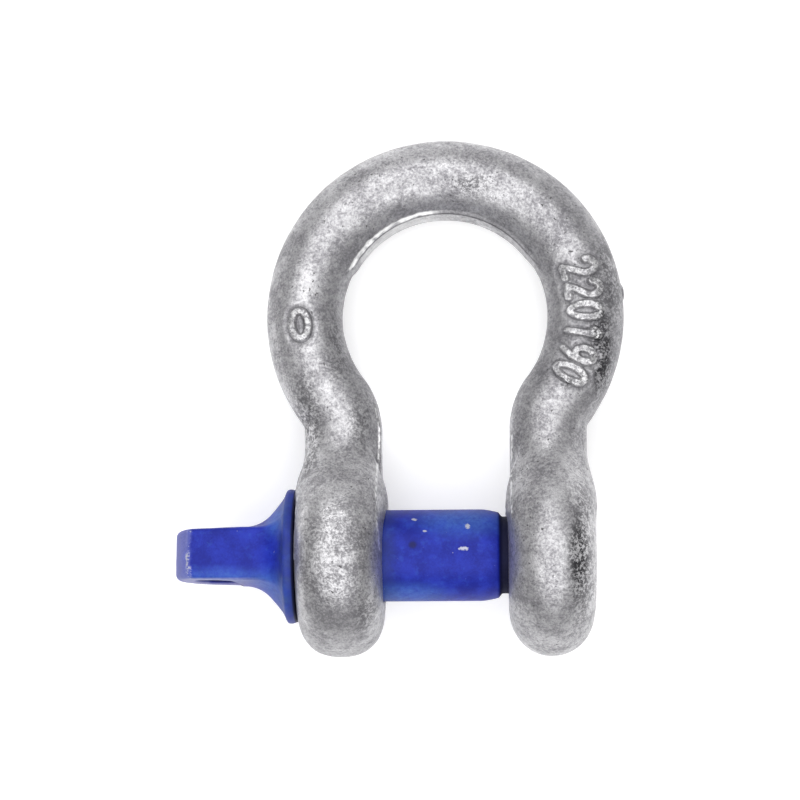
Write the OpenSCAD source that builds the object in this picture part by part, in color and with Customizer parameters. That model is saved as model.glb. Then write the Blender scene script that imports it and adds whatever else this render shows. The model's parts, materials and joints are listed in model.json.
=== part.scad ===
// Forged bow shackle with a screw pin, lying on its side as it rests on a bench.
// Millimetres. The origin is on the pin's axis, midway between the ears.
// +X runs along the pin to its threaded end, +Y towards the crown, +Z up.

/* [Bow] */
// Diameter of the round bar that the bow is bent from
bar_d = 19.4; // [12:0.5:24]
// How much wider the bow is inside than the jaw, on each side
bow_bulge = 10; // [8:0.2:14]
// Inside length, from the pin's surface to the inside of the crown
inside_len = 73.5; // [66:0.5:90]
// Radius of the bar's surface on the tight side of the bend into a straight leg
neck_bend_r = 1.8; // [1:0.1:10]

/* [Ears] */
// Clear width of the jaw between the two ears
jaw_w = 30.4; // [25:0.2:38]
// How much thicker an ear is than the bar, measured along the pin
ear_swell = 1.6; // [1:0.1:4]
// Metal between the pin hole and the ear's rim
ear_wall = 13.1; // [10:0.1:16]
// Width of the flat land round each pin hole
ear_land = 1.6; // [1:0.1:3]
// Radius of the fillet between an ear and its leg
ear_fillet = 6; // [3:0.5:9]
// How far a leg's centreline lies inside the middle of its ear
leg_inset = 0.4; // [0:0.1:1]

/* [Pin] */
// Diameter of the plain shank
pin_d = 22.4; // [18:0.1:27]
// Radial clearance between the shank and the plain ear's hole
pin_clearance = 0.4; // [0.1:0.05:0.8]
// How far the collar stands out round the shank
collar_lip = 5.1; // [3.5:0.1:6.5]
// Thickness of the collar's rim
collar_t = 2.5; // [1.5:0.1:4]
// Length of the cone that leads from the collar into the tab
flare_len = 11; // [7:0.1:13]
// Length of the short cone at the shank's threaded end
shoulder_len = 4.4; // [2:0.1:6]
// Drop in radius over that cone
shoulder_drop = 0.6; // [0.3:0.1:1.2]

/* [Tab] */
// Width of the flat tab
tab_w = 22; // [17:0.2:27]
// Thickness of the flat tab
tab_t = 12.2; // [9:0.1:15]
// Diameter of the hole through the tab
eye_d = 11; // [7:0.1:12]
// Metal between the hole and the tab's rounded tip
tip_wall = 5.2; // [4:0.1:8]
// Distance from the collar's outer face to the centre of the hole
eye_offset = 19.5; // [14:0.1:20]
// Radius of the tab's rounded tip, seen along the hole
tip_r = 15.5; // [14:0.1:20]

/* [Thread] */
// How far the thread's crest lies below the shank's surface, so that it passes the plain ear
thread_drop = 0.2; // [0.1:0.05:1]
// Pitch of the screw thread, 9 turns to the inch
thread_pitch = 2.822; // [2:0.001:4]
// Radial depth of the screw thread
thread_depth = 1.6; // [1:0.1:2]
// Radial clearance round the thread in the threaded ear
thread_clearance = 0.1; // [0.05:0.05:0.3]
// Length of the relief neck between the cone and the ear
relief_len = 2.4; // [1:0.1:4]
// How far the pin's end stops short of the ear's outer face
end_recess = 1; // [0:0.1:3]

/* [Hidden] */

CURVE_FN = 96;         // round surfaces
RIM_STEPS = 6;         // points on a quarter of the ear's rim
FLARE_STEPS = 8;       // points along the flare's profile
FLARE_POWER = 1.4;     // how quickly the flare falls away from the collar
COLLAR_EDGE = 0.8;     // chamfer on the collar's rim
WEB_SHARE = 0.45;      // share of the ear's thickness that the fillets' web takes
CREST_SHARE = 0.25;    // share of the thread's pitch that its flat crest takes
ROOT_SHARE = 0.25;     // share of the thread's pitch that its flat root takes
THROUGH = 1;           // how far a cut runs past the metal, and a leg into its neck
THINNING = 0.1;        // loss of the bar's radius from crown to neck, and from neck to leg
LAP_ANGLE = 2;         // how far a neck runs into the crown's arc

bar_r = bar_d / 2;
neck_bar_r = bar_r - THINNING;
leg_r = neck_bar_r - THINNING;
neck_r = bar_r + neck_bend_r;
ear_t = bar_d + ear_swell;
pin_r = pin_d / 2;
plain_hole_r = pin_r + pin_clearance;
thread_r = pin_r - thread_drop;
thread_hole_r = thread_r + thread_clearance;
ear_r = plain_hole_r + ear_wall;
ear_flat_r = plain_hole_r + ear_land;
ear_x = jaw_w / 2 + ear_t / 2;
ear_face_x = jaw_w / 2 + ear_t;
leg_x = ear_x - leg_inset;

// The crown is one arc. Each neck is a reverse arc that meets it and ends in a straight leg.
crown_r = jaw_w / 2 + bow_bulge + bar_r;
crown_y = pin_r + inside_len + bar_r - crown_r;
neck_drop = sqrt(pow(crown_r + neck_r, 2) - pow(leg_x + neck_r, 2));
neck_angle = asin(neck_drop / (crown_r + neck_r));
leg_top_y = crown_y - neck_drop;

// Lying down, the shackle touches the bench with both ears' rims and the crown.
lie_angle = asin((ear_r - bar_r) / (crown_y + crown_r));

collar_r = pin_r + collar_lip;
collar_x = -ear_face_x;
rim_x = collar_x - collar_t;
eye_x = collar_x - eye_offset;
tip_x = eye_x - eye_d / 2 - tip_wall;
shank_end_x = jaw_w / 2 - relief_len;
thread_root_r = thread_r - thread_depth;
thread_start_x = jaw_w / 2;
thread_end_x = ear_face_x - end_recess;
thread_turns = floor((thread_end_x - thread_start_x) / thread_pitch);

module as_it_lies() {
    rotate([-lie_angle, 0, 0]) children();
}

module along_x(x) {
    translate([x, 0, 0]) rotate([0, 90, 0]) children();
}

// ---- bow ----

module bar_arc(radius, thick_r, start, sweep) {
    rotate([0, 0, start])
        rotate_extrude(angle = sweep, $fn = CURVE_FN)
            translate([radius, 0]) circle(thick_r, $fn = CURVE_FN);
}

module crown() {
    translate([0, crown_y, 0]) bar_arc(crown_r, bar_r, -neck_angle, 180 + 2 * neck_angle);
}

// The right-hand neck; the left-hand one is its mirror image.
module neck() {
    translate([leg_x + neck_r, leg_top_y, 0])
        bar_arc(neck_r, neck_bar_r, 180 - neck_angle - LAP_ANGLE, neck_angle + LAP_ANGLE);
}

function rim_point(a) = [
    ear_flat_r + (ear_r - ear_flat_r) * cos(a),
    ear_t / 2 * sin(a)
];

// A disc whose edge is rounded all the way across.
module ear() {
    rim = [for (i = [-RIM_STEPS : RIM_STEPS]) rim_point(90 * i / RIM_STEPS)];
    along_x(ear_x) rotate_extrude($fn = CURVE_FN)
        polygon(concat([[0, -ear_t / 2]], rim, [[0, ear_t / 2]]));
}

// A plate in the ear's mid-plane, with a fillet on each side from the ear to the leg.
module web() {
    half = ear_t * WEB_SHARE / 2;
    web_r = rim_point(asin(half / (ear_t / 2)))[0];
    centre = [sqrt(pow(web_r + ear_fillet, 2) - pow(leg_r + ear_fillet, 2)), leg_r + ear_fillet];
    touch = centre * web_r / (web_r + ear_fillet);
    translate([ear_x - half, 0, 0]) rotate([90, 0, 90]) linear_extrude(2 * half) difference() {
        translate([0, -touch[1]]) square([centre[0], 2 * touch[1]]);
        for (side = [-1, 1]) translate([centre[0], side * centre[1]])
            circle(ear_fillet, $fn = CURVE_FN);
    }
}

module leg() {
    translate([leg_x, leg_top_y + THROUGH, 0]) rotate([90, 0, 0])
        cylinder(h = leg_top_y + THROUGH - plain_hole_r, r = leg_r, $fn = CURVE_FN);
}

// A hole through the ear whose left face is at x.
module ear_hole(x, hole_r) {
    along_x(x - THROUGH) cylinder(h = ear_t + 2 * THROUGH, r = hole_r, $fn = CURVE_FN);
}

module bow() {
    color("silver") as_it_lies() difference() {
        union() {
            crown();
            for (side = [0, 1]) mirror([side, 0, 0]) {
                neck();
                leg();
                web();
                ear();
            }
        }
        ear_hole(-ear_face_x, plain_hole_r);
        ear_hole(jaw_w / 2, thread_hole_r);
    }
}

// ---- screw pin ----

// Radius of the flare, where s runs from 0 at the collar to 1 at the tab.
function flare_radius(s) = tab_t / 2 + (collar_r - COLLAR_EDGE - tab_t / 2) * pow(1 - s, FLARE_POWER);

module collar_and_flare() {
    flare = [for (i = [0 : FLARE_STEPS])
        [flare_radius(i / FLARE_STEPS), rim_x - flare_len * i / FLARE_STEPS]];
    along_x(0) rotate_extrude($fn = CURVE_FN)
        polygon(concat(
            [[0, collar_x], [collar_r - COLLAR_EDGE / 2, collar_x],
             [collar_r, collar_x - COLLAR_EDGE / 2], [collar_r, rim_x + COLLAR_EDGE]],
            flare,
            [[0, rim_x - flare_len]]));
}

module tab() {
    rotate([90, 0, 0]) difference() {
        linear_extrude(tab_t, center = true) intersection() {
            translate([tip_x + tip_r, 0]) circle(tip_r, $fn = CURVE_FN);
            translate([tip_x, -tab_w / 2]) square([rim_x - tip_x, tab_w]);
        }
        translate([eye_x, 0, 0])
            cylinder(h = tab_t + 2 * THROUGH, r = eye_d / 2, center = true, $fn = CURVE_FN);
    }
}

module shank() {
    cone_x = shank_end_x - shoulder_len;
    along_x(rim_x) cylinder(h = cone_x - rim_x, r = pin_r, $fn = CURVE_FN);
    along_x(cone_x)
        cylinder(h = shoulder_len, r1 = pin_r, r2 = pin_r - shoulder_drop, $fn = CURVE_FN);
    along_x(shank_end_x)
        cylinder(h = thread_start_x - shank_end_x, r = thread_root_r, $fn = CURVE_FN);
}

// One turn of the thread, as a ring: root, flank, crest, flank.
function ring(i) =
    let (z = i * thread_pitch, flank = (1 - CREST_SHARE - ROOT_SHARE) / 2 * thread_pitch,
         crest = z + ROOT_SHARE * thread_pitch + flank)
    [[thread_root_r, z], [thread_root_r, z + ROOT_SHARE * thread_pitch],
     [thread_r, crest], [thread_r, crest + CREST_SHARE * thread_pitch]];

module thread() {
    rings = [for (i = [0 : thread_turns - 1]) each ring(i)];
    end = thread_end_x - thread_start_x;
    along_x(thread_start_x) rotate_extrude($fn = CURVE_FN)
        polygon(concat([[0, 0]], rings, [[thread_root_r, thread_turns * thread_pitch],
                [thread_root_r, end], [0, end]]));
}

module screw_pin() {
    color("mediumblue") as_it_lies() {
        collar_and_flare();
        tab();
        shank();
        thread();
    }
}

bow();
screw_pin();
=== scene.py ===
import math
import bmesh
import bpy
import json
import numpy as np
from mathutils import Matrix, Vector, noise


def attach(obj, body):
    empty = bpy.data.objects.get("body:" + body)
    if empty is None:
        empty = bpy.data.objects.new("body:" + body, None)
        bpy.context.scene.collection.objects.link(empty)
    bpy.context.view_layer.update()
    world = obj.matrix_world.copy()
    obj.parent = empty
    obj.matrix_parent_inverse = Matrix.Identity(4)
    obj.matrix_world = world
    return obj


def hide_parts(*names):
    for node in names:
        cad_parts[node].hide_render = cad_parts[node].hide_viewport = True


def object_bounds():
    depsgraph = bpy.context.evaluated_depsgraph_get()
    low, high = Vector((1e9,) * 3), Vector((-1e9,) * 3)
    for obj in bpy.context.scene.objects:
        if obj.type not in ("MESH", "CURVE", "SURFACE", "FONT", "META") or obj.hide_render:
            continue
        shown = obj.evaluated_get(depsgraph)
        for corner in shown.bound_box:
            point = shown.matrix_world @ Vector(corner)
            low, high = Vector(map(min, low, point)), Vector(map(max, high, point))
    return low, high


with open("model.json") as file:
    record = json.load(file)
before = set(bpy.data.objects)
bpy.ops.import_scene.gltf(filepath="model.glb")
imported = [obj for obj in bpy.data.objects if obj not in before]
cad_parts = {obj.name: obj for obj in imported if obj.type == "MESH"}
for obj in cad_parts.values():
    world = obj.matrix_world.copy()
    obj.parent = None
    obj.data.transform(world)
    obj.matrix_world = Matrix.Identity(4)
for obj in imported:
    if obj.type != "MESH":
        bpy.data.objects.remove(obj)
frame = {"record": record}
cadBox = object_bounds()

mm = 0.001
farAway = 1e3  # millimetres; a distance that is never the nearest
mounts = {m["name"]: m for m in frame["record"]["mounts"]}
tilt = math.asin(mounts["bow_saddle"]["axis"][2])  # the shackle's plane slopes as it lies
restsOn = cadBox[0][2]

# where the camera stands and looks, in millimetres in the part's frame
cameraSettings = {
    "from": (13.87, 42.36, 557.5), "at": (-10.97, 38.15, 0),
    "lens": 102.5, "roll": -0.58, "clip": (0.01, 20),
}


def placeCamera(look):
    camera = bpy.data.objects.new("camera", bpy.data.cameras.new("camera"))
    bpy.context.collection.objects.link(camera)
    ahead = (Vector(look["at"]) - Vector(look["from"])).normalized()
    right = ahead.cross(Vector((0, 1, 0))).normalized()
    up = right.cross(ahead)
    turn = math.radians(look["roll"])
    tiltedRight = right * math.cos(turn) + up * math.sin(turn)
    tiltedUp = up * math.cos(turn) - right * math.sin(turn)
    facing = Matrix((tiltedRight, tiltedUp, -ahead)).transposed().to_4x4()
    camera.matrix_world = Matrix.Translation(Vector(look["from"]) * mm) @ facing
    camera.data.lens = look["lens"]
    camera.data.clip_start, camera.data.clip_end = look["clip"]
    bpy.context.scene.camera = camera


placeCamera(cameraSettings)
print("camera placed")


# The shapes are worked out in millimetres in the bow's own plane: x along the pin,
# y towards the crown, z out of that plane.
def smoothMin(a, b, blend):
    h = np.clip(0.5 + 0.5 * (b - a) / blend, 0, 1)
    return b + (a - b) * h - blend * h * (1 - h)


def smoothMax(a, b, blend):
    return -smoothMin(-a, -b, blend)


def fade(value, start, end):
    h = np.clip((value - start) / (end - start), 0, 1)
    return h * h * (3 - 2 * h)


def slope(distance, points, step=0.02):
    grad = np.empty_like(points)
    for axis in range(3):
        shift = np.zeros(3)
        shift[axis] = step
        grad[:, axis] = (distance(points + shift) - distance(points - shift)) / (2 * step)
    return grad


def settle(distance, points, rounds):
    # moves points onto the surface, where distance is zero
    for _ in range(rounds):
        grad = slope(distance, points)
        steep = np.maximum((grad ** 2).sum(1), 0.05)
        points = points - grad * (distance(points) / steep)[:, None]
    return points


def relax(points, edges, amount=0.5):
    total = np.zeros_like(points)
    count = np.bincount(edges.ravel(), minlength=len(points))[:, None]
    for a, b in ((0, 1), (1, 0)):
        for axis in range(3):
            total[:, axis] += np.bincount(edges[:, a], points[edges[:, b], axis], len(points))
    return points + amount * (total / np.maximum(count, 1) - points)


def readPoints(mesh):
    points = np.empty(len(mesh.vertices) * 3)
    mesh.vertices.foreach_get("co", points)
    return points.reshape(-1, 3)


def readEdges(mesh):
    edges = np.empty(len(mesh.edges) * 2, dtype=np.int32)
    mesh.edges.foreach_get("vertices", edges)
    return edges.reshape(-1, 2)


def toPart(points):
    # from the bow's plane in millimetres to the part's frame in metres
    c, s = math.cos(tilt), math.sin(tilt)
    x, y, z = points.T
    return np.stack([x, y * c + z * s, z * c - y * s], 1) * mm


def rings(ringPoints, closed=False):
    # ringPoints is rows x sides x 3; faces join the rows, and open ends are capped
    rows, sides = ringPoints.shape[:2]
    index = np.arange(rows * sides).reshape(rows, sides)
    ahead = np.roll(index, -1, 1)
    below, aheadBelow = np.roll(index, -1, 0), np.roll(ahead, -1, 0)
    last = rows if closed else rows - 1
    faces = np.stack([index, ahead, aheadBelow, below], 2)[:last].reshape(-1, 4).tolist()
    if not closed:
        faces += [index[0][::-1].tolist(), index[-1].tolist()]
    return ringPoints.reshape(-1, 3), faces


def lathe(profile, sides, closed):
    # profile is a list of (x, radius)
    turn = np.linspace(0, 2 * math.pi, sides, endpoint=False)
    profile = np.array(profile, dtype=float)
    x = np.repeat(profile[:, :1], sides, 1)
    radius = profile[:, 1:]
    return rings(np.stack([x, radius * np.cos(turn), radius * np.sin(turn)], 2), closed)


def joinShapes(shapes):
    points, faces, start = [], [], 0
    for shapePoints, shapeFaces in shapes:
        points.append(shapePoints)
        faces += [[i + start for i in face] for face in shapeFaces]
        start += len(shapePoints)
    return np.concatenate(points), faces


def meshFrom(name, shape):
    points, faces = shape
    mesh = bpy.data.meshes.new(name)
    mesh.from_pydata(points.tolist(), [], faces)
    mesh.validate()
    work = bmesh.new()
    work.from_mesh(mesh)
    bmesh.ops.recalc_face_normals(work, faces=work.faces)
    work.to_mesh(mesh)
    work.free()
    return mesh


def skin(name, shape, cell, distance):
    # one even skin round overlapping rough shapes, settled on the true surface
    rough = bpy.data.objects.new(name + "_rough", meshFrom(name, shape))
    bpy.context.collection.objects.link(rough)
    remesh = rough.modifiers.new("skin", "REMESH")
    remesh.mode = "VOXEL"
    remesh.voxel_size = cell
    depsgraph = bpy.context.evaluated_depsgraph_get()
    even = bpy.data.meshes.new_from_object(rough.evaluated_get(depsgraph))
    bpy.data.objects.remove(rough)
    points, edges = settle(distance, readPoints(even), 4), readEdges(even)
    for _ in range(4):
        points = settle(distance, relax(points, edges), 2)
    even.vertices.foreach_set("co", points.ravel())
    even.update()
    print(name, "skin has", len(even.polygons), "faces")
    return even


def refine(mesh, wanted, cuts):
    # splits the faces whose every corner is wanted
    points = readPoints(mesh)
    keep = wanted(points)
    work = bmesh.new()
    work.from_mesh(mesh)
    work.verts.ensure_lookup_table()
    edges = {e for f in work.faces if all(keep[v.index] for v in f.verts) for e in f.edges}
    bmesh.ops.subdivide_edges(work, edges=list(edges), cuts=cuts, use_grid_fill=True)
    work.to_mesh(mesh)
    work.free()


def addPiece(name, mesh, body, replaced):
    piece = bpy.data.objects.new(name, mesh)
    bpy.context.collection.objects.link(piece)
    mesh.polygons.foreach_set("use_smooth", [True] * len(mesh.polygons))
    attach(piece, body)
    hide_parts(replaced)
    return piece


def shapeNoise(points, size, seed):
    return np.array([noise.noise(Vector(p) / size + Vector((seed, 0, 0))) for p in points])


def unevenness(points, kind):
    height, size, seed = kind
    return height * shapeNoise(points, size, seed)


def threadHeight(x, turn, pitch, crest=0.22, root=0.2):
    # from 0 at the root to 1 at the crest, for a right-hand thread
    phase = x / pitch - turn / (2 * math.pi)
    across = np.abs(phase - np.floor(phase) - 0.5) * 2
    return np.clip((1 - root - across) / (1 - crest - root), 0, 1)


bow = {
    "crownRadius": 34.9, "crownHeight": 59.5, "barRadius": 9.7, "sideThinning": 0.2,
    "neckRadius": 11.5, "legX": 25.3, "legRadius": 9.55, "legLead": 12, "legFoot": 12.5,
    "earX": 25.7, "earThickness": 21.0, "earRadius": 24.7, "earFlat": 13.2,
    "rimPower": {-1: 2.4, 1: 2.05},
    "earBlend": 8.0, "innerBlend": 1.2, "outerBlend": 4.0,  # fillets between an ear and its leg
    "outerFrom": (24, 28), "sideFrom": (3, 8.5),
    "plainHole": 11.6, "threadHole": 11.1, "linerGap": 1.4, "holeEdge": 0.9,
    "cell": 0.6, "sides": 96,
    "lumps": (0.09, 9, 3), "ripples": (0.035, 2.6, 11), "skinDrop": 0.06,  # height, size and seed
}
# the flat band that trimming leaves inside the crown, in degrees round the crown, and the
# shorter one down the left leg
bow["band"] = {
    "half": 3.9, "face": 9.64, "blend": 0.7, "edge": 0.5, "sink": 2.2,
    "rise": (6, 40), "fall": (149, 164), "shown": (24, 155), "inside": 7.5,
}
bow["legBand"] = {"middle": 24, "half": 13, "flatTo": 7, "sink": 1.2, "proud": 0.02}
# a knob of flash on the right, and the sleeve that holds the female thread
bow["knob"] = {"at": (44.2, 65.2, 0), "reach": (1, 2.1, 1.4), "height": 0.5, "edge": (0.5, 1.3)}
bow["liner"] = {
    "short": 0.1, "depth": 0.95, "crest": 0.3, "root": 0.12, "wall": 1.9,
    "mouth": 1.2, "mouthLength": 1.4,
}
neckCentre = bow["legX"] + bow["neckRadius"]
neckReach = bow["crownRadius"] + bow["neckRadius"]
bow["neckAngle"] = math.acos(neckCentre / neckReach)
bow["legTop"] = bow["crownHeight"] - neckReach * math.sin(bow["neckAngle"])


def crownAngle(points):
    # degrees round the crown's centre: 0 right, 90 top, 180 left
    angle = np.degrees(np.arctan2(points[:, 1] - bow["crownHeight"], points[:, 0]))
    return (angle + 90) % 360 - 90


def acrossBar(points):
    # how far each point lies outside the crown's centre line
    up = points[:, 1] - bow["crownHeight"]
    return np.hypot(points[:, 0], up) - bow["crownRadius"]


def barDistance(points):
    x, y, z = np.abs(points[:, 0]), points[:, 1], points[:, 2]
    up, across = y - bow["crownHeight"], acrossBar(points)
    onCrown = np.arctan2(up, x) >= -bow["neckAngle"]
    crown = np.where(onCrown, np.abs(across), farAway)
    nx, ny = neckCentre - x, y - bow["legTop"]
    neckAt = np.arctan2(ny, nx)
    onNeck = (neckAt >= 0) & (neckAt <= bow["neckAngle"])
    neck = np.where(onNeck, np.abs(np.hypot(nx, ny) - bow["neckRadius"]), farAway)
    leg = np.where(y <= bow["legTop"], np.hypot(x - bow["legX"], np.minimum(y, 0)), farAway)
    near = np.minimum(np.minimum(crown, neck), leg)
    rise = np.clip(up / bow["crownRadius"], 0, 1)
    radius = bow["barRadius"] - bow["sideThinning"] * (1 - rise ** 2)
    legDrop = bow["legRadius"] - bow["barRadius"] + bow["sideThinning"]
    radius += legDrop * fade(-y, -bow["legTop"] - bow["legLead"], -bow["legTop"])
    bar = np.hypot(near, z) - radius
    # the flat band inside the crown rises out of the bar and sinks back into it
    trim, around = bow["band"], crownAngle(points)
    shown = fade(around, *trim["rise"]) * fade(-around, -trim["fall"][1], -trim["fall"][0])
    sink = trim["sink"] * (1 - shown)
    band = smoothMax(np.abs(z) - trim["half"], -across - trim["face"] + sink, trim["edge"])
    band = np.where(onCrown, np.maximum(band, across), farAway)
    # and the one on the left leg
    strip = bow["legBand"]
    fromMiddle = np.abs(y - strip["middle"])
    stop = strip["sink"] * fade(fromMiddle, strip["flatTo"], strip["half"])
    face = bow["legX"] - x - bow["legRadius"] - strip["proud"] + stop
    ends = np.maximum(x - bow["legX"], fromMiddle - strip["half"])
    onLeg = np.maximum(np.maximum(np.abs(z) - trim["half"], face), ends)
    onLeg = np.where(points[:, 0] < 0, onLeg, farAway)
    return smoothMin(smoothMin(bar, band, trim["blend"]), onLeg, trim["blend"])


def earDistance(points):
    x, y, z = points.T
    away, radius = np.abs(x) - bow["earX"], np.hypot(y, z)
    power = np.where(x < 0, bow["rimPower"][-1], bow["rimPower"][1])
    rim, half = bow["earRadius"] - bow["earFlat"], bow["earThickness"] / 2
    u = np.maximum(radius - bow["earFlat"], 0) / rim
    v = np.abs(away) / half
    whole = np.maximum((u ** power + v ** power) ** (1 / power), 1e-6)
    steep = whole ** (1 - power) * np.hypot(u ** (power - 1) / rim, v ** (power - 1) / half)
    return (whole - 1) / np.maximum(steep, 1 / (rim + half))


def bowDistance(points):
    x, y, z = points.T
    outside = fade(np.abs(x), *bow["outerFrom"])
    edgeBlend = bow["innerBlend"] + (bow["outerBlend"] - bow["innerBlend"]) * outside
    blend = edgeBlend + (bow["earBlend"] - edgeBlend) * fade(np.abs(z), *bow["sideFrom"])
    solid = smoothMin(barDistance(points), earDistance(points), blend)
    hole = np.where(x < 0, bow["plainHole"], bow["threadHole"] + bow["linerGap"])
    return smoothMax(solid, hole - np.hypot(y, z), bow["holeEdge"])


def roughBow():
    crownTurns = np.linspace(-bow["neckAngle"], math.pi + bow["neckAngle"], 90)
    crown = [(bow["crownRadius"] * math.cos(a), bow["crownHeight"] + bow["crownRadius"] * math.sin(a))
             for a in crownTurns]
    neckTurns = np.linspace(bow["neckAngle"], 0, 10)[1:]
    neck = [(bow["neckRadius"] * math.cos(a) - neckCentre, bow["legTop"] + bow["neckRadius"] * math.sin(a))
            for a in neckTurns]
    leg = [(-bow["legX"], y) for y in np.linspace(bow["legTop"], bow["legFoot"], 8)[1:]]
    path = np.array([(-x, y) for x, y in (neck + leg)[::-1]] + crown + neck + leg)
    along = np.gradient(path, axis=0)
    along /= np.linalg.norm(along, axis=1)[:, None]
    side = np.stack([-along[:, 1], along[:, 0], np.zeros(len(path))], 1)[:, None]
    turn = np.linspace(0, 2 * math.pi, 40, endpoint=False)[None, :, None]
    flat = np.concatenate([path, np.zeros((len(path), 1))], 1)[:, None]
    upright = np.array([0, 0, 1])
    bar = flat + bow["legRadius"] * (side * np.cos(turn) + upright * np.sin(turn))
    shapes = [rings(bar)]
    half, rim = bow["earThickness"] / 2, bow["earRadius"] - bow["earFlat"]
    rimTurns = np.linspace(-math.pi / 2, math.pi / 2, 17)
    for sign, hole in ((-1, bow["plainHole"]), (1, bow["threadHole"] + bow["linerGap"])):
        middle = sign * bow["earX"]
        profile = [(middle + half * math.sin(a), bow["earFlat"] + rim * math.cos(a)) for a in rimTurns]
        profile += [(middle + half, hole), (middle - half, hole)]
        shapes.append(lathe(profile, bow["sides"], True))
    return joinShapes(shapes)


# raised digits, drawn as strokes 0.8 wide and 1.3 high before they are stretched to size
def arc(cx, cy, rx, ry, start, end, steps=14):
    turns = np.radians(np.linspace(start, end, steps))
    return [(cx + rx * math.cos(a), cy + ry * math.sin(a)) for a in turns]


strokes = {
    "0": [arc(0, 0, 0.4, 0.62, 0, 360, 24)],
    "1": [[(-0.22, 0.4), (0.05, 0.65), (0.05, -0.65)]],
    "2": [arc(0, 0.28, 0.38, 0.37, 170, -40) + [(-0.38, -0.65), (0.4, -0.65)]],
    "9": [arc(0, 0.25, 0.36, 0.38, 0, 360, 20), [(0.36, 0.25), (0.3, -0.25), (-0.05, -0.65)]],
}
marks = {
    "rows": [
        {"digits": "220190", "middle": -5.5, "across": -0.3, "pitch": 8.9, "spread": 28,
         "wide": 4.3, "tall": 6.0, "upright": False},
        {"digits": "0", "middle": 185.5, "across": 0.6, "pitch": 8.4, "spread": 10,
         "wide": 5.0, "tall": 5.4, "upright": True},
    ],
    "halfWidth": 0.6, "edge": 0.65, "height": 0.85, "trough": 0.32, "troughWidth": 1.5,
    "ragged": (1.8, 5),  # size and seed of the edges' unevenness
    "above": 4, "side": 8.5, "reach": (6, 8),  # where on the bar a digit can be
}


def strokeDistance(u, v, line):
    best = np.full(len(u), farAway)
    for a, b in zip(line[:-1], line[1:]):
        along = b - a
        t = np.clip(((u - a[0]) * along[0] + (v - a[1]) * along[1]) / max(along @ along, 1e-9), 0, 1)
        best = np.minimum(best, np.hypot(u - a[0] - t * along[0], v - a[1] - t * along[1]))
    return best


def fromDigits(points):
    # how far each point is from the nearest stroke of a raised digit
    away = np.full(len(points), farAway)
    around, across = crownAngle(points), acrossBar(points)
    for row in marks["rows"]:
        size = np.array([row["wide"], row["tall"]])
        for i, digit in enumerate(row["digits"]):
            at = row["middle"] - (i - (len(row["digits"]) - 1) / 2) * row["pitch"]
            along = np.radians(around - at) * bow["crownRadius"]
            out = across - row["across"]
            u, v = (-out, -along) if row["upright"] else (-along, out)
            near = (points[:, 2] > marks["above"])
            near &= (np.abs(u) < marks["reach"][0]) & (np.abs(v) < marks["reach"][1])
            for line in strokes[digit]:
                fromLine = strokeDistance(u[near], v[near], np.array(line) * size)
                away[near] = np.minimum(away[near], fromLine)
    return away - marks["halfWidth"]


def markArea(points):
    around = crownAngle(points)
    near = np.zeros(len(points), dtype=bool)
    for row in marks["rows"]:
        near |= np.abs(around - row["middle"]) < row["spread"]
    return near & (points[:, 2] > marks["above"]) & (np.abs(acrossBar(points)) < marks["side"])


def fromBandEdge(points):
    # how far each point on the inside of the crown is from an edge of the flat band
    around, trim = crownAngle(points), bow["band"]
    on = acrossBar(points) < -trim["inside"]
    on &= (around > trim["shown"][0]) & (around < trim["shown"][1])
    return np.where(on, np.abs(points[:, 2]) - trim["half"], farAway)


# thin raised seams along the ears and legs, as they run across the bow's plane
seams = [
    [(-17.2, 36), (-15.95, 30), (-16.5, 22), (-16.5, 14), (-15.9, 5), (-15.4, 0)],
    [(-35.5, 13), (-35.9, 5), (-36, -2)],
    [(16.4, 29), (16.0, 18), (16.0, 7)],
]
seamBump = {"height": 0.12, "width": 0.5, "ragged": 0.3, "highest": 38}


def fromSeams(points):
    away = np.full(len(points), farAway)
    # only on the upper side, which stands higher on the ears than on the legs
    y, z = points[:, 1], points[:, 2]
    on = (z > np.clip(20 - 0.75 * y, 2.5, 13)) & (y < seamBump["highest"])
    for line in seams:
        fromLine = strokeDistance(points[on, 0], points[on, 1], np.array(line))
        away[on] = np.minimum(away[on], fromLine)
    return away


def fineArea(points):
    nearBand, nearSeam = 1.2, 1.0
    return (np.abs(fromBandEdge(points)) < nearBand) | (fromSeams(points) < nearSeam)


def forgedDetail(points, normals):
    # slow unevenness of the forging and the zinc, then the digits, the seams and the knob
    out = unevenness(points, bow["lumps"]) + unevenness(points, bow["ripples"])
    halfBand = bow["band"]["half"] / 2
    onBand = np.abs(fromBandEdge(points) + halfBand) < halfBand
    inHole = np.hypot(points[:, 1], points[:, 2]) < bow["earFlat"] + 0.4
    out = np.where(inHole | onBand, 0, out - bow["skinDrop"])
    away, ragged = fromDigits(points), shapeNoise(points, *marks["ragged"])
    beside = fade(away, 0, marks["edge"])
    out += marks["height"] * (1 - beside) * (0.9 + 0.4 * ragged)
    out -= marks["trough"] * beside * (1 - fade(away, marks["edge"], marks["troughWidth"] + 0.6))
    fromSeam = fromSeams(points) + seamBump["ragged"] * ragged
    out += seamBump["height"] * (1 - fade(fromSeam, 0, seamBump["width"]))
    fromKnob = (points - np.array(bow["knob"]["at"])) / np.array(bow["knob"]["reach"])
    knob = 1 - fade(np.linalg.norm(fromKnob, axis=1), *bow["knob"]["edge"])
    return points + normals * (out + bow["knob"]["height"] * knob)[:, None]


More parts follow.
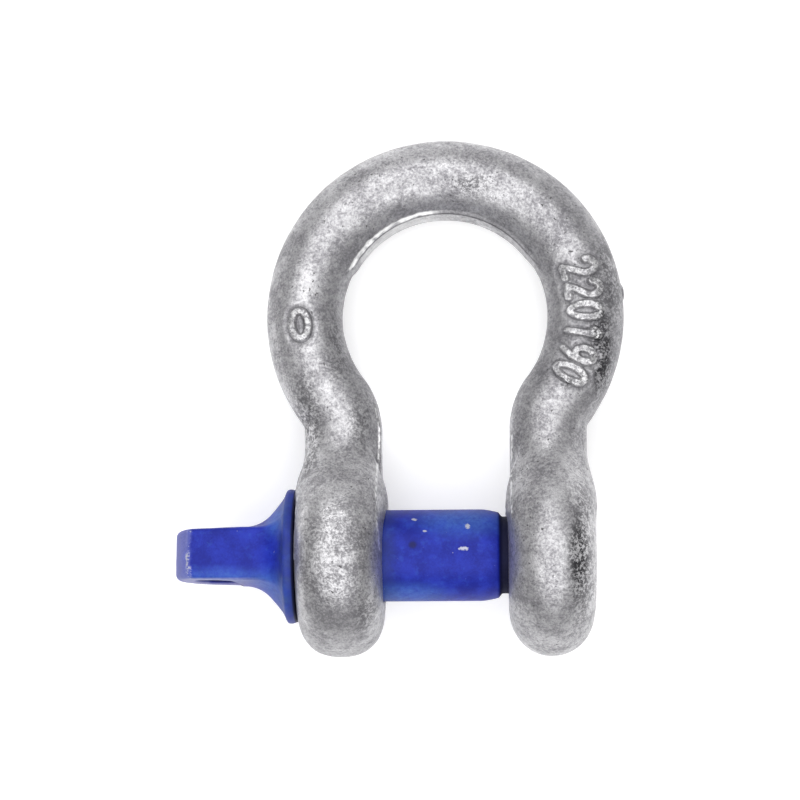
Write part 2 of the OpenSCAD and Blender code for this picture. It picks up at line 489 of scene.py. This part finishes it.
# how the finish, and the light and shade painted into it, change over the bow; each span is where a change
# starts and ends, in degrees round the crown for the first six and in millimetres for the rest
bowWearAndLight = {
    # painted light: highlights on the band's face, its ridge and the seams; painted shade on the outside
    # and inside of the bar, the ears' lower rims, the band's groove and round the digits
    "leftSide": (90, 100), "bandStart": (24, 54), "bandEnd": (138, 154),
    "bandHighlightStart": (75, 105), "bandHighlightEnd": (136, 150),
    "dullAndShaded": ((12, 35, 75), (145, 14, 26)),  # an angle, and a span on both sides of it
    "ridgeHighlight": (0, 0.34), "seamHighlight": (0.05, 0.4), "seamGaps": (-0.2, 0.1), "groove": (0.1, 0.6),
    "onBand": (0.3, 0.8), "bandHighlight": (0.2, 1.4), "raised": (-0.1, 0.5),
    "troughIn": (0.3, 0.6), "troughOut": (0.8, marks["troughWidth"]),
    "outer": (1.5, 8), "inner": (2.5, 9), "lowerRimShade": (6, 19), "barAbove": 20,
    "ragged": (1.4, 31),  # size and seed
}


def bowFields(points):
    # what the finish needs to know about each point, from 0 to 1
    wearAndLight, (x, y, z) = bowWearAndLight, points.T
    around, across = crownAngle(points), acrossBar(points)
    away, ragged = fromDigits(points), shapeNoise(points, *wearAndLight["ragged"])
    edge = fromBandEdge(points)
    # the flat band: a painted highlight along its upper ridge on the left, painted shade in the groove at
    # its edge, and a painted highlight on its face
    onLeft = fade(around, *wearAndLight["leftSide"])
    within = fade(around, *wearAndLight["bandStart"]) * (1 - fade(around, *wearAndLight["bandEnd"]))
    ridgeHighlight = (1 - fade(np.abs(edge - 0.15) + 0.3 * ragged, *wearAndLight["ridgeHighlight"])) * onLeft * (z > 0)
    groove = (1 - fade(np.abs(edge + 0.3), *wearAndLight["groove"])) * (1 - 0.4 * onLeft) * within
    inBand = np.abs(z) < bow["band"]["half"]
    onBand = fade(-edge, *wearAndLight["onBand"]) * inBand * within
    bandHighlight = fade(around, *wearAndLight["bandHighlightStart"]) * (1 - fade(around, *wearAndLight["bandHighlightEnd"]))
    # painted highlights along the crests of the seams
    seamHighlight = 1 - fade(fromSeams(points) + 0.35 * ragged, *wearAndLight["seamHighlight"])
    # painted shade: the outside of the crown is painted darker on the right, less so on the left
    (rightAt, *rightSpan), (leftAt, *leftSpan) = wearAndLight["dullAndShaded"]
    right = 1 - fade(np.abs(around - rightAt), *rightSpan)
    left = 0.5 * (1 - fade(np.abs(around - leftAt), *leftSpan))
    onBar = y > wearAndLight["barAbove"]
    # painted shade on the lower rims of the ears, more on the left ear
    lowerRimShade = fade(-y, *wearAndLight["lowerRimShade"]) * np.where(x < 0, 0.6, 0.25)
    # the raised digits aside, these fields place painted light: highlights on the crests and the band's
    # face, and shade round the digits, in the band's groove, on the bar's outer and inner sides and on the
    # ears' lower rims
    return {
        "raised": 1 - fade(away, *wearAndLight["raised"]),
        "trough": fade(away, *wearAndLight["troughIn"]) * (1 - fade(away, *wearAndLight["troughOut"])),
        "crest": np.maximum(ridgeHighlight, seamHighlight * fade(ragged, *wearAndLight["seamGaps"])),
        "groove": groove,
        "outer": np.where(onBar, fade(across, *wearAndLight["outer"]) * np.maximum(right, left), lowerRimShade),
        "band": fade(-edge, *wearAndLight["bandHighlight"]) * inBand * bandHighlight,
        "inner": np.where(onBar, fade(-across, *wearAndLight["inner"]), 0) * (1 - onBand),
    }


def threadLiner():
    # the female thread, as a sleeve inside its ear
    liner, half = bow["liner"], bow["earThickness"] / 2
    x = np.linspace(-half + liner["short"], half - liner["short"], 90) + bow["earX"]
    turn = np.linspace(0, 2 * math.pi, bow["sides"], endpoint=False)
    grid, turns = np.meshgrid(x, turn, indexing="ij")
    thread = threadHeight(grid, turns, pin["pitch"], liner["crest"], liner["root"])
    inner = bow["threadHole"] + liner["depth"] * (1 - thread)
    fromMiddle = np.abs(grid - bow["earX"])
    mouth = fade(fromMiddle, half - liner["mouthLength"], half - liner["short"])
    inner = inner + (bow["threadHole"] + liner["mouth"] - inner) * mouth
    wall = np.full_like(inner, bow["threadHole"] + liner["wall"])
    radius = np.concatenate([inner, wall[::-1]])
    grid, turns = np.concatenate([grid, grid[::-1]]), np.concatenate([turns, turns])
    return rings(np.stack([grid, radius * np.cos(turns), radius * np.sin(turns)], 2), True)


pin = {
    "radius": 11.2, "faceX": -36.2, "collarRadius": 16.3, "collarThickness": 2.5, "collarEdge": 1.0,
    "flareLength": 10.4, "flarePower": 1.55, "flareStep": 0.6, "flareBlend": 3.8, "collarBlend": 1.6,
    "tabWidth": 22.0, "tabThick": 12.0, "tabThickRoot": 13.0, "tabTaper": 18, "tabEdge": 1.7,
    "tipX": -66.36, "tipRadius": 16.7, "eyeX": -55.7, "eyeRadius": 5.5, "eyeEdge": 1.4,
    "coneFrom": 8.4, "neckFrom": 12.8, "coneDrop": 0.75, "neckRadius": 9.4,
    "threadFrom": 15.2, "threadTo": 35.2, "threadRadius": 11.0, "threadDepth": 1.6, "pitch": 2.822,
    "endChamfer": 1.0, "cell": 0.4, "sides": 120, "headSides": 72,
    "lumps": (0.07, 6, 21), "ripples": (0.025, 1.8, 8), "skinDrop": 0.04,  # height, size and seed
}
rimX = pin["faceX"] - pin["collarThickness"]
tipCentre = pin["tipX"] + pin["tipRadius"]


def flareRadius(share):
    # share runs from 0 at the collar to 1 at the tab
    start = pin["collarRadius"] - pin["flareStep"] - pin["tabThick"] / 2
    return pin["tabThick"] / 2 + start * (1 - share) ** pin["flarePower"]


def headDistance(points):
    x, y, z = points.T
    radius = np.hypot(y, z)
    fromCollar = np.abs(x - (pin["faceX"] + rimX) / 2) - pin["collarThickness"] / 2
    collar = smoothMax(radius - pin["collarRadius"], fromCollar, pin["collarEdge"])
    share = np.clip((rimX - x) / pin["flareLength"], 0, 1)
    ends = np.maximum(x - rimX - 0.5, rimX - pin["flareLength"] - x)
    flare = np.maximum((radius - flareRadius(share)) * 0.8, ends)
    # the tab thickens a little towards the collar, and its tip is round
    share = np.clip((x - pin["tipX"]) / pin["tabTaper"], 0, 1)
    half = (pin["tabThick"] + (pin["tabThickRoot"] - pin["tabThick"]) * share) / 2
    tip = np.hypot(x - pin["tipX"] - pin["tipRadius"], z) - pin["tipRadius"]
    tip = np.where(x > tipCentre, np.abs(z) - pin["tipRadius"], tip)
    outline = smoothMax(smoothMax(tip, np.abs(z) - pin["tabWidth"] / 2, 0.4), x - rimX, 0.5)
    tab = smoothMax(outline, np.abs(y) - half, pin["tabEdge"])
    eye = pin["eyeRadius"] - np.hypot(x - pin["eyeX"], z)
    tab = smoothMax(tab, eye, pin["eyeEdge"])
    return smoothMin(collar, smoothMin(tab, flare, pin["flareBlend"]), pin["collarBlend"])


def roughHead():
    flare = [(rimX - pin["flareLength"] * share, flareRadius(share)) for share in np.linspace(0, 1, 9)]
    collar = [(pin["faceX"], pin["collarRadius"]), (rimX, pin["collarRadius"])]
    revolved = lathe(collar + flare, pin["headSides"], False)
    half = pin["tabWidth"] / 2
    reach = math.asin(half / pin["tipRadius"])
    tip = [(tipCentre - pin["tipRadius"] * math.cos(a), pin["tipRadius"] * math.sin(a))
           for a in np.linspace(-reach, reach, 15)]
    # the tab is four slabs round the eye, so that the skin has a hole to settle into
    gap = pin["eyeRadius"] - 0.7
    before, after = pin["eyeX"] - gap, pin["eyeX"] + gap
    outlines = [tip + [(before, half), (before, -half)],
                [(after, -half), (rimX, -half), (rimX, half), (after, half)]]
    for side in (-1, 1):
        outlines.append([(before - 1, side * half), (before - 1, side * gap),
                         (after + 1, side * gap), (after + 1, side * half)])
    slabs = []
    for outline in outlines:
        faces = [[(x, face * pin["tabThick"] / 2, z) for x, z in outline] for face in (-1, 1)]
        slabs.append(rings(np.array(faces)))
    return joinShapes([revolved] + slabs)


def shankShape():
    x = np.concatenate([np.linspace(pin["faceX"] - 1, pin["coneFrom"], 46)[:-1],
                        np.linspace(pin["coneFrom"], pin["neckFrom"], 12)[:-1],
                        np.linspace(pin["neckFrom"], pin["threadFrom"], 8)[:-1],
                        np.linspace(pin["threadFrom"], pin["threadTo"], 120)])
    turn = np.linspace(0, 2 * math.pi, pin["sides"], endpoint=False)
    grid, turns = np.meshgrid(x, turn, indexing="ij")
    share = np.clip((grid - pin["coneFrom"]) / (pin["neckFrom"] - pin["coneFrom"]), 0, 1)
    radius = pin["radius"] - pin["coneDrop"] * share ** 1.6
    toNeck = fade(grid, pin["neckFrom"] - 0.1, pin["neckFrom"] + 0.9)
    radius = radius + (pin["neckRadius"] - radius) * toNeck
    ends = np.minimum(fade(grid, pin["threadFrom"] - 0.2, pin["threadFrom"] + 2),
                      1 - fade(grid, pin["threadTo"] - 2.4, pin["threadTo"] - 0.2))
    radius = radius + pin["threadDepth"] * np.minimum(threadHeight(grid, turns, pin["pitch"]), ends)
    radius = radius - pin["endChamfer"] * fade(grid, pin["threadTo"] - 0.9, pin["threadTo"])
    return rings(np.stack([grid, radius * np.cos(turns), radius * np.sin(turns)], 2))


def pinDetail(points, normals):
    out = unevenness(points, pin["lumps"]) + unevenness(points, pin["ripples"])
    return points + normals * (out - pin["skinDrop"])[:, None]


# how the paint, and the light and shade painted onto it, change over the pin, in millimetres
pinWearAndLight = {
    # painted light: a sheen on the tab's tip face and floor light on its underside; painted shade by the
    # ear, behind the collar, in the eye and in the neck
    "worn": (0.1, 0.8), "tipFace": (-0.15, 0.15), "tipReach": 14,
    "rim": (12.5, 15.5), "earAt": -15.5, "shadeByEar": (0.5, 5), "behind": (-0.9, -0.4),
    "under": (5.8, 6.1), "underFrom": (42, 52), "eyeWall": (0.1, 0.5),
    "neck": (-0.2, 0.5), "thread": (0.6, 1.4), "crest": (-0.9, -0.2),
    "ragged": (1.5, 17),  # size and seed
}


def beyond(value, start, span):
    # fades in over a span that is given from a start
    return fade(value, start + span[0], start + span[1])


def pinFields(points):
    # what the paint needs to know about each point, from 0 to 1
    wearAndLight, (x, y, z) = pinWearAndLight, points.T
    radius, ragged = np.hypot(y, z), shapeNoise(points, *wearAndLight["ragged"])
    tip = np.hypot(x - pin["tipX"] - pin["tipRadius"], z) - pin["tipRadius"]
    onTip, halfWidth = x < tipCentre, pin["tabWidth"] / 2
    # edges of the tab's tip, where the paint wears first
    corner = np.where(onTip, np.abs(tip - np.abs(z) + halfWidth), farAway)
    sides = np.abs(np.maximum(tip, np.abs(z) - halfWidth) - np.abs(y) + pin["tabThick"] / 2)
    sides = np.where(x < pin["tipX"] + wearAndLight["tipReach"], sides, farAway)
    onTipFace = np.where(onTip, tip - np.abs(z) + halfWidth, -farAway)
    onHead = x < pin["faceX"] + 1
    rim = fade(radius, *wearAndLight["rim"]) * onHead
    # painted shade on the shank where it meets the left ear
    shadeByEar = 0.6 * (1 - fade(np.abs(x - wearAndLight["earAt"]) + ragged, *wearAndLight["shadeByEar"]))
    fromEye = np.hypot(x - pin["eyeX"], z)
    pastNeck = beyond(x, pin["threadFrom"], wearAndLight["thread"])
    # besides the wear and the bare thread, these fields place painted light: shade by the ear, in the eye,
    # behind the collar and in the neck, a sheen on the tip face and floor light on the underside
    return {
        "worn": 1 - fade(np.minimum(corner, sides + 0.85) + 0.5 * ragged, *wearAndLight["worn"]),
        "grime": np.maximum(rim * (0.75 + 0.5 * ragged), shadeByEar),
        "tipFace": fade(onTipFace, *wearAndLight["tipFace"]) * (radius < wearAndLight["tipReach"]),
        "behind": beyond(x, pin["faceX"], wearAndLight["behind"]) * onHead * (radius > 12),
        "under": fade(-y, *wearAndLight["under"]) * fade(-x, *wearAndLight["underFrom"]),
        "eyeWall": 1 - beyond(fromEye, pin["eyeRadius"], wearAndLight["eyeWall"]),
        "neck": beyond(x, pin["neckFrom"], wearAndLight["neck"]) * (1 - pastNeck),
        "thread": pastNeck * beyond(radius, pin["threadRadius"], wearAndLight["crest"]),
    }


def vertexNormals(mesh):
    normals = np.empty(len(mesh.vertices) * 3)
    mesh.vertices.foreach_get("normal", normals)
    return normals.reshape(-1, 3)


def finishMesh(mesh, fields):
    # keeps the fields on the mesh for its finish, and puts it in the part's frame
    points = readPoints(mesh)
    for name, values in fields(points).items():
        kept = mesh.attributes.new(name, "FLOAT", "POINT")
        kept.data.foreach_set("value", np.asarray(values, dtype=np.float32))
    mesh.vertices.foreach_set("co", toPart(points).ravel())
    mesh.update()
    return mesh


def addShape(mesh, shape):
    # joins a ready shape to a mesh that is still in millimetres
    work = bmesh.new()
    work.from_mesh(mesh)
    work.from_mesh(meshFrom("extra", shape))
    work.to_mesh(mesh)
    work.free()
    return mesh


def makeBow():
    mesh = skin("bow", roughBow(), bow["cell"], bowDistance)
    refine(mesh, markArea, 3)
    refine(mesh, fineArea, 2)
    points = settle(bowDistance, readPoints(mesh), 2)
    mesh.vertices.foreach_set("co", points.ravel())
    mesh.update()
    points = forgedDetail(readPoints(mesh), vertexNormals(mesh))
    mesh.vertices.foreach_set("co", points.ravel())
    addShape(mesh, threadLiner())
    return addPiece("forgedBow", finishMesh(mesh, bowFields), "bow", "bow")


def makePin():
    mesh = skin("head", roughHead(), pin["cell"], headDistance)
    points = pinDetail(readPoints(mesh), vertexNormals(mesh))
    mesh.vertices.foreach_set("co", points.ravel())
    addShape(mesh, shankShape())
    return addPiece("screwPin", finishMesh(mesh, pinFields), "screw_pin", "screw_pin")


class Value:
    # a socket that sums and products can be written with
    def __init__(self, finish, socket):
        self.finish, self.socket = finish, socket

    def maths(self, operation, first, second):
        return self.finish.node("ShaderNodeMath", {"operation": operation}, {0: first, 1: second})

    def __add__(self, other):
        return self.maths("ADD", self, other)

    def __sub__(self, other):
        return self.maths("SUBTRACT", self, other)

    def __rsub__(self, other):
        return self.maths("SUBTRACT", other, self)

    def __mul__(self, other):
        return self.maths("MULTIPLY", self, other)

    __radd__, __rmul__ = __add__, __mul__


class Finish:
    def __init__(self, name):
        self.material = bpy.data.materials.new(name)
        self.material.use_nodes = True
        self.tree = self.material.node_tree
        self.tree.nodes.clear()
        coordinates = self.node("ShaderNodeTexCoord", {}, {}, "Object")
        self.place = self.vector("SCALE", {0: coordinates, "Scale": 1 / mm})

    def node(self, kind, settings, sockets, output=0):
        made = self.tree.nodes.new(kind)
        for key, value in settings.items():
            if key == "stops":
                ramp = made.color_ramp
                while len(ramp.elements) < len(value):
                    ramp.elements.new(0.5)
                for element, (position, colour) in zip(ramp.elements, value):
                    element.position, element.color = position, colour
            else:
                setattr(made, key, value)
        for key, value in sockets.items():
            if isinstance(value, Value):
                self.tree.links.new(value.socket, made.inputs[key])
            else:
                made.inputs[key].default_value = value
        return Value(self, made.outputs[output])

    def vector(self, operation, sockets, output=0):
        return self.node("ShaderNodeVectorMath", {"operation": operation}, sockets, output)

    def noise(self, size, detail, roughness):
        # size is in millimetres
        return self.node("ShaderNodeTexNoise", {}, {
            "Vector": self.place, "Scale": 1 / size, "Detail": detail, "Roughness": roughness})

    def step(self, value, start, end):
        return self.node("ShaderNodeMapRange", {"interpolation_type": "SMOOTHSTEP"},
                         {"Value": value, "From Min": start, "From Max": end})

    def mix(self, share, first, second):
        return self.node("ShaderNodeMix", {"data_type": "RGBA"}, {0: share, 6: first, 7: second}, 2)

    def spot(self, centre, size, soft):
        # 1 inside an ellipsoid round a place in millimetres, fading to 0
        away = self.vector("SUBTRACT", {0: self.place, 1: centre})
        away = self.vector("DIVIDE", {0: away, 1: size})
        length = self.vector("LENGTH", {0: away}, "Value")
        return 1 - self.step(length, 1 - soft, 1 + soft)

    def bump(self, height, distance, strength):
        return self.node("ShaderNodeBump", {}, {
            "Height": height, "Distance": distance * mm, "Strength": strength})

    def field(self, name):
        return self.node("ShaderNodeAttribute", {"attribute_name": name}, {}, "Fac")

    def done(self, sockets):
        output = self.tree.nodes.new("ShaderNodeOutputMaterial")
        shader = self.node("ShaderNodeBsdfPrincipled", {}, sockets)
        self.tree.links.new(shader.socket, output.inputs["Surface"])
        return self.material


def grey(level):
    return (level, level, level, 1)


zinc = {
    "broad": 8, "patches": 1.9, "grain": 0.62,  # sizes of the mottling in millimetres
    "tones": [(0.0, (0.2, 0.195, 0.21, 1)), (0.35, (0.32, 0.315, 0.33, 1)),
              (0.7, (0.43, 0.425, 0.44, 1)), (1.0, (0.57, 0.565, 0.58, 1))],
    # the greys on this line and the next two include painted light: painted shade for the outside and
    # inside of the bar, round the digits and in the band's groove, and painted highlights for the band's
    # face and the crests; the stain, pit and raised greys are the zinc's own
    "outer": (0.13, 0.128, 0.14, 1), "inner": (0.17, 0.168, 0.18, 1), "stain": (0.03, 0.029, 0.033, 1),
    "trough": (0.14, 0.138, 0.148, 1), "groove": (0.09, 0.088, 0.095, 1),
    "pit": grey(0.05), "band": grey(0.68), "raised": grey(0.75), "crest": grey(0.9),
    "metallic": 0.7, "roughness": 0.27, "bump": (0.28, 0.85),
}
# dark stains: centre and reach in millimetres in the part's frame, and strength
zinc["stains"] = [
    ((38.4, 50, 2), (2.6, 11, 9), 1.0), ((29.8, 42, 6), (2.2, 1.8, 4), 0.9),
    ((41.5, 70, 0), (4.5, 13, 10), 0.5), ((-18, 35.2, 6), (1.3, 1.9, 4), 1.0),
    ((-20.5, 34, 6), (2.6, 6, 6), 0.4), ((7.5, 91.5, 0), (5.5, 2.4, 9), 0.6),
    ((-26, 56, 4), (3, 12, 8), 0.4), ((31.6, 1, 18), (2.2, 8, 12), 1.0),
    ((32.4, 2, 17), (3.2, 17, 14), 0.4), ((-19, -10, 14), (2.4, 6, 9), 0.45),
    ((33, 61, 6), (2.4, 1, 6), 0.6), ((24.8, 75.3, 3), (0.6, 0.7, 6), 1.0),
    ((44.4, 64.8, 0), (1.6, 2.6, 4), 1.0), ((39, 56, 7), (2.4, 6, 5), 0.8),
    ((34, 43.5, 7), (2.6, 2.2, 5), 0.9), ((-34.5, 28, 2), (4, 14, 9), 0.6),
    ((-27, 2, 22), (8, 12, 8), 0.3), ((-35, 61, 9), (7, 13, 7), 0.8),
]


def galvanised():
    f = Finish("galvanised")
    broad = f.noise(zinc["broad"], 2, 0.5)
    patches = f.noise(zinc["patches"], 3, 0.6)
    grain = f.noise(zinc["grain"], 4, 0.75)
    level = f.step(broad * 0.26 + patches * 0.24 + grain * 0.5, 0.38, 0.62)
    colour = f.node("ShaderNodeValToRGB", {"stops": zinc["tones"]}, {"Fac": level})
    # painted shade on the outside of the bar and on the ears' lower rims
    colour = f.mix(f.field("outer") * 0.45, colour, zinc["outer"])
    # painted shade on the inside of the bar
    colour = f.mix(f.field("inner") * 0.4, colour, zinc["inner"])
    # the stains darken the dark grains and leave the bright ones
    broken = 1 - f.step(grain * 0.6 + patches * 0.4, 0.46, 0.56)
    for centre, size, strength in zinc["stains"]:
        colour = f.mix(f.spot(centre, size, 0.5) * broken * strength, colour, zinc["stain"])
    pits = f.step(f.noise(0.9, 1, 0.5), 0.69, 0.75) * f.step(f.noise(6, 2, 0.6), 0.46, 0.6)
    colour = f.mix(pits * 0.8, colour, zinc["pit"])
    # painted highlight on the flat band's face
    colour = f.mix(f.field("band") * 0.45, colour, zinc["band"])
    # painted shade in the trough round each digit
    colour = f.mix(f.field("trough") * 0.4, colour, zinc["trough"])
    colour = f.mix(f.field("raised") * f.step(grain, 0.42, 0.6) * 0.5, colour, zinc["raised"])
    # painted shade in the groove along the band's edge
    colour = f.mix(f.field("groove") * 0.7, colour, zinc["groove"])
    # painted highlights on the band's upper ridge and on the seams' crests
    colour = f.mix(f.field("crest") * 0.9, colour, zinc["crest"])
    dullAndShaded = f.field("trough") * 0.2 + f.field("inner") * 0.12
    return f.done({
        "Base Color": colour, "Metallic": zinc["metallic"],
        "Roughness": zinc["roughness"] + 0.2 * (1 - level) + dullAndShaded,
        "Normal": f.bump(patches * 0.5 + grain * 0.5 - pits * 0.5, *zinc["bump"])})


paint = {
    "dark": (0.004, 0.011, 0.23, 1), "light": (0.011, 0.026, 0.36, 1), "dust": (0.04, 0.15, 0.5, 1),
    "grime": (0.03, 0.055, 0.15, 1), "pale": (0.06, 0.16, 0.5, 1), "speck": (0.006, 0.006, 0.05, 1),
    # the lilacs for the tab's tip face and underside on this line are painted sheen and painted floor
    # light with some wear, and the near-blacks on the next two lines for the eye, the gap behind the
    # collar and the neck are painted shade
    "worn": (0.2, 0.23, 0.5, 1), "tipFace": (0.2, 0.22, 0.5, 1), "under": (0.42, 0.4, 0.52, 1),
    "bare": (0.5, 0.51, 0.56, 1), "eyeWall": (0.004, 0.004, 0.02, 1),
    "behind": (0.003, 0.003, 0.01, 1), "neck": (0.003, 0.003, 0.015, 1),
    "roughness": 0.42, "specular": 0.22, "bump": (0.12, 0.7),
    # centres and reaches in millimetres in the part's frame
    "paleSpots": [((-54, -4.8, 10), (9, 2.6, 6)), ((-42.5, -8, 10), (4.5, 5, 7)),
                  ((-41, 10, 8), (2.5, 4, 7)), ((4, 9, 6), (9, 4, 5)), ((-9, -9, 6), (8, 3, 6))],
    "speckSpot": ((-7.8, 3.4, 11), (0.9, 0.8, 3)),
    "chips": [((4.3, 2.4, 11), (1.7, 0.85, 3)), ((5.4, 7.6, 8), (0.9, 1.0, 4)),
              ((-7.4, 9.2, 7), (1.1, 0.45, 4)), ((-4.9, 6.6, 9), (0.9, 0.4, 4)),
              ((2, -11.2, 2), (0.7, 0.4, 4)), ((-62.3, -0.8, 11), (0.6, 1.1, 3))],
}


def bluePaint():
    f = Finish("bluePaint")
    broad = f.noise(5, 3, 0.6)
    fine = f.noise(0.5, 3, 0.7)
    ragged = f.noise(1.2, 3, 0.7)
    level = f.step(broad * 0.65 + fine * 0.35, 0.38, 0.64)
    colour = f.mix(level, paint["dark"], paint["light"])
    colour = f.mix(f.step(f.noise(2.4, 4, 0.7), 0.54, 0.7) * 0.12, colour, paint["dust"])
    # dirt on the collar's rim, and painted shade on the shank by the left ear
    colour = f.mix(f.field("grime") * 0.6, colour, paint["grime"])
    for centre, size in paint["paleSpots"]:
        colour = f.mix(f.spot(centre, size, 0.7) * ragged * 0.9, colour, paint["pale"])
    colour = f.mix(f.spot(*paint["speckSpot"], 0.5) * 0.75, colour, paint["speck"])
    # bare metal shows at the worn edges, in small flecks, in the chips and on the thread
    bare = f.field("worn") * f.step(fine * 0.5 + broad * 0.5, 0.53, 0.6)
    bare = bare + f.step(f.noise(1.1, 2, 0.6), 0.745, 0.77) * 0.6
    for centre, size in paint["chips"]:
        chip = f.spot(centre, size, 0.9) * 0.5 + ragged * 0.4 + fine * 0.35
        bare = bare + f.step(chip, 0.74, 0.86) * 0.85
    bare = f.node("ShaderNodeMath", {"operation": "MINIMUM"}, {0: bare + f.field("thread") * 0.7, 1: 1.0})
    colour = f.mix(f.field("worn") * 0.35, colour, paint["worn"])
    # painted sheen on the tab's tip face
    colour = f.mix(f.field("tipFace") * (0.15 + 0.6 * fine), colour, paint["tipFace"])
    # painted floor light, with some wear, on the tab's underside near its tip
    colour = f.mix(f.field("under") * (0.1 + 0.5 * ragged), colour, paint["under"])
    colour = f.mix(bare, colour, paint["bare"])
    # painted shade inside the eye
    colour = f.mix(f.field("eyeWall") * 0.8, colour, paint["eyeWall"])
    # painted shade in the gap behind the collar, where it meets the ear
    colour = f.mix(f.field("behind") * 0.9, colour, paint["behind"])
    # painted shade in the neck's recess next to the ear
    colour = f.mix(f.field("neck") * 0.95, colour, paint["neck"])
    return f.done({
        "Base Color": colour, "Metallic": bare * 0.6, "Specular IOR Level": paint["specular"],
        "Roughness": paint["roughness"] + 0.16 * fine + f.field("neck") * 0.2,
        "Normal": f.bump(broad * 0.35 + fine * 0.4 - bare * 0.5, *paint["bump"])})


# lamps: name, place in metres, width and power
stage = {
    "reach": 3.0, "floorTone": 0.9, "floorRoughness": 0.9, "floorGlow": 0.3, "world": 0.34,
    "aim": (0, 0.035, 0),
    "lamps": [("farLamp", (-0.05, 0.62, 0.52), 0.4, 1.5), ("nearLamp", (0.05, -0.42, 0.6), 0.4, 1.1),
              ("overLamp", (0, 0.06, 0.95), 1.5, 12.0)],
}


def addLight(name, place, size, power):
    lamp = bpy.data.lights.new(name, "AREA")
    lamp.size, lamp.energy = size, power
    light = bpy.data.objects.new(name, lamp)
    light.location = place
    aim = Vector(stage["aim"]) - Vector(place)
    light.rotation_euler = aim.to_track_quat("-Z", "Y").to_euler()
    bpy.context.collection.objects.link(light)


def makeStage():
    mesh = bpy.data.meshes.new("floor")
    corners = [(x * stage["reach"], y * stage["reach"], restsOn)
               for x, y in ((-1, -1), (1, -1), (1, 1), (-1, 1))]
    mesh.from_pydata(corners, [], [(0, 1, 2, 3)])
    floor = bpy.data.objects.new("floor", mesh)
    bpy.context.collection.objects.link(floor)
    mesh.materials.append(Finish("floor").done({
        "Base Color": grey(stage["floorTone"]), "Roughness": stage["floorRoughness"],
        "Emission Color": grey(1), "Emission Strength": stage["floorGlow"]}))
    for lamp in stage["lamps"]:
        addLight(*lamp)
    world = bpy.data.worlds.new("surroundings")
    world.use_nodes = True
    background = world.node_tree.nodes["Background"]
    background.inputs["Color"].default_value = grey(1)
    background.inputs["Strength"].default_value = stage["world"]
    bpy.context.scene.world = world
    bpy.context.scene.view_settings.view_transform = "Standard"


makeBow().data.materials.append(galvanised())
print("bow made")
makePin().data.materials.append(bluePaint())
print("pin made")
makeStage()
print("stage made")
